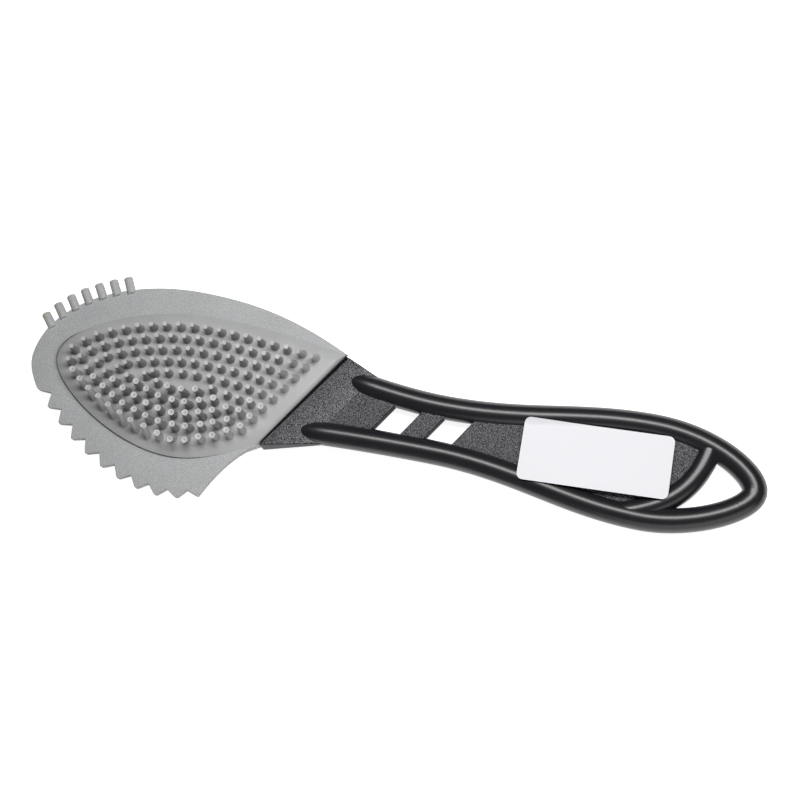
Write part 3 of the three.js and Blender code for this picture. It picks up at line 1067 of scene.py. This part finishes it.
def smooth_grey():
    """The pads' rubber. The pins' bodies are darker than the pads, a painted shade for the shade among
    the pins, and their tips are paler, partly a painted highlight and partly paler rubber.
    """
    material, tree, shader = node_material("smooth_grey", roughness=0.48)
    base = ramp(tree, grain(tree, size=9), (0.49, 0.495, 0.505), (0.54, 0.545, 0.555))
    body = mixed(tree, "MULTIPLY", painted(tree, "painted_body_shade"), base, pin_body_painted_shade)
    # The tips' paler colour is partly a painted highlight and partly paler rubber
    colour = mixed(tree, "MIX", painted(tree, "tip_tint_and_highlight"), body, pin_tip_tint_and_highlight)
    tree.links.new(colour, shader.inputs["Base Color"])
    bump(tree, shader, grain(tree, size=0.8), strength=0.08, depth=0.05)
    return material


def grained_black():
    """Pale grain on the faces that look up, partly the grain's own tone and partly painted glints;
    plain sides, with a painted light on the block's sides; and a deep black line along the edges.
    """
    material, tree, shader = node_material("grained_black", roughness=0.5)
    speckle = grain(tree, size=0.23, detail=3.0)
    shader.inputs["Specular IOR Level"].default_value = 0.06
    # The pale speckle is partly the grain's own tone and partly painted glints; only faces that look up
    # show it
    grain_and_glint = ramp(tree, speckle, (0.024, 0.024, 0.028), (0.55, 0.555, 0.59), low=0.45, high=0.64)
    top = mixed(tree, "MIX", painted(tree, "grained"), deep_black, grain_and_glint)
    # The block's sides are paler: a painted light
    side = mixed(tree, "MIX", painted(tree, "side_painted_light"), deep_black, block_side_painted_light)
    rounded = ramp(tree, facing_up(tree), none, full, low=0.12, high=0.25)
    upward = ramp(tree, facing_up(tree), none, full, low=0.75, high=0.93)
    edge = mixed(tree, "MIX", rounded, side, deep_black)
    colour = mixed(tree, "MIX", upward, edge, top)
    tree.links.new(colour, shader.inputs["Base Color"])
    bump(tree, shader, speckle, strength=0.6, depth=0.12)
    return material


def satin_black():
    material, tree, shader = node_material("satin_black", roughness=0.3)
    shader.inputs["Specular IOR Level"].default_value = 0.65
    colour = ramp(tree, grain(tree, size=6), (0.013, 0.0135, 0.017), (0.017, 0.0175, 0.021))
    tree.links.new(colour, shader.inputs["Base Color"])
    bump(tree, shader, grain(tree, size=1.2), strength=0.03, depth=0.05)
    return material


def white_film():
    material, tree, shader = node_material("white_film", roughness=0.45)
    colour = ramp(tree, grain(tree, size=0.5), (0.865, 0.858, 0.905), (0.895, 0.888, 0.935))
    tree.links.new(colour, shader.inputs["Base Color"])
    bump(tree, shader, grain(tree, size=2.5), strength=0.05, depth=0.08)
    return material


# Stage, light and camera

floor_reach = 40000
floor_drop = 0.05
floor_patch = 300
floor_colour = (0.9, 0.9, 0.9)
floor_patch_share = 0.98
floor_glow = 0.88
lamp_place = Vector((45, 92, 300))
lamp_target = Vector((45, 0, 0))
lamp_length = 300
lamp_width = 80
lamp_power = 0.865
lamp_colour = (1, 0.995, 0.985)
panel_place = Vector((247, -376, 171))
panel_target = Vector((-40, -5, 0))
panel_length = 600
panel_width = 300
panel_power = 0.67
fill_strength = 0.05
camera_distance = 504.5
camera_azimuth = 37.8
camera_elevation = 73.59
camera_roll = -25.73
camera_target = Vector((29.86, 7.17, 4.1))
camera_lens = 70.38
camera_sensor = 36


def floor():
    """A pale floor that looks nearly white to the camera and in gloss, and keeps the brush's shadow."""
    mesh = bpy.data.meshes.new("floor")
    corners = [(-1, -1), (1, -1), (1, 1), (-1, 1)]
    points = [(x * floor_reach * MM, y * floor_reach * MM, -floor_drop * MM) for x, y in corners]
    mesh.from_pydata(points, [], [(0, 1, 2, 3)])
    plane = bpy.data.objects.new("floor", mesh)
    bpy.context.scene.collection.objects.link(plane)
    material, tree, shader = node_material("floor_white", roughness=0.9)
    patch_colour = tuple(floor_patch_share * part for part in floor_colour)
    colour = ramp(tree, grain(tree, floor_patch), patch_colour, floor_colour, low=0.4, high=0.6)
    tree.links.new(colour, shader.inputs["Base Color"])
    shader.inputs["Specular IOR Level"].default_value = 0
    light_path = tree.nodes.new("ShaderNodeLightPath")
    seen = light_path.outputs["Is Camera Ray"]
    for ray in ("Is Glossy Ray", "Is Transmission Ray"):
        either = tree.nodes.new("ShaderNodeMath")
        either.operation = "MAXIMUM"
        tree.links.new(seen, either.inputs[0])
        tree.links.new(light_path.outputs[ray], either.inputs[1])
        seen = either.outputs[0]
    glow = tree.nodes.new("ShaderNodeMath")
    glow.operation = "MULTIPLY"
    glow.inputs[1].default_value = floor_glow
    tree.links.new(seen, glow.inputs[0])
    shader.inputs["Emission Color"].default_value = (1, 1, 1, 1)
    tree.links.new(glow.outputs[0], shader.inputs["Emission Strength"])
    mesh.materials.append(material)


def area_lamp(name, place, target, length, width, power):
    lamp = bpy.data.lights.new(name, "AREA")
    lamp.shape = "RECTANGLE"
    lamp.size = length * MM
    lamp.size_y = width * MM
    lamp.energy = power
    lamp.color = lamp_colour
    stand = bpy.data.objects.new(name, lamp)
    stand.location = place * MM
    stand.rotation_euler = (target - place).to_track_quat("-Z", "Y").to_euler()
    bpy.context.scene.collection.objects.link(stand)


def lights():
    area_lamp("softbox", lamp_place, lamp_target, lamp_length, lamp_width, lamp_power)
    area_lamp("side_panel", panel_place, panel_target, panel_length, panel_width, panel_power)
    world = bpy.data.worlds.new("studio")
    world.use_nodes = True
    background = world.node_tree.nodes["Background"]
    background.inputs["Color"].default_value = (1, 1, 1, 1)
    background.inputs["Strength"].default_value = fill_strength
    bpy.context.scene.world = world


def camera():
    data = bpy.data.cameras.new("camera")
    data.lens = camera_lens
    data.sensor_width = camera_sensor
    view = bpy.data.objects.new("camera", data)
    azimuth = math.radians(camera_azimuth)
    elevation = math.radians(camera_elevation)
    turn = Matrix.Rotation(azimuth, 4, "Z") @ Matrix.Rotation(math.pi / 2 - elevation, 4, "X")
    turn = turn @ Matrix.Rotation(math.radians(camera_roll), 4, "Z")
    back = turn @ Vector((0, 0, 1))
    target = camera_target + Vector((plan_origin.x, plan_origin.y, 0))
    view.matrix_world = Matrix.Translation((target + back * camera_distance) * MM) @ turn
    bpy.context.scene.collection.objects.link(view)
    bpy.context.scene.camera = view


# The brush

grained = grained_grey()
smooth = smooth_grey()
grip_frame(satin_black())
handle_core(grained_black())
head_plate(grained)
pin_pad(smooth)
back_pad(smooth)
blank_label(white_film())
floor()
lights()
camera()
bpy.context.scene.view_settings.view_transform = "Standard"
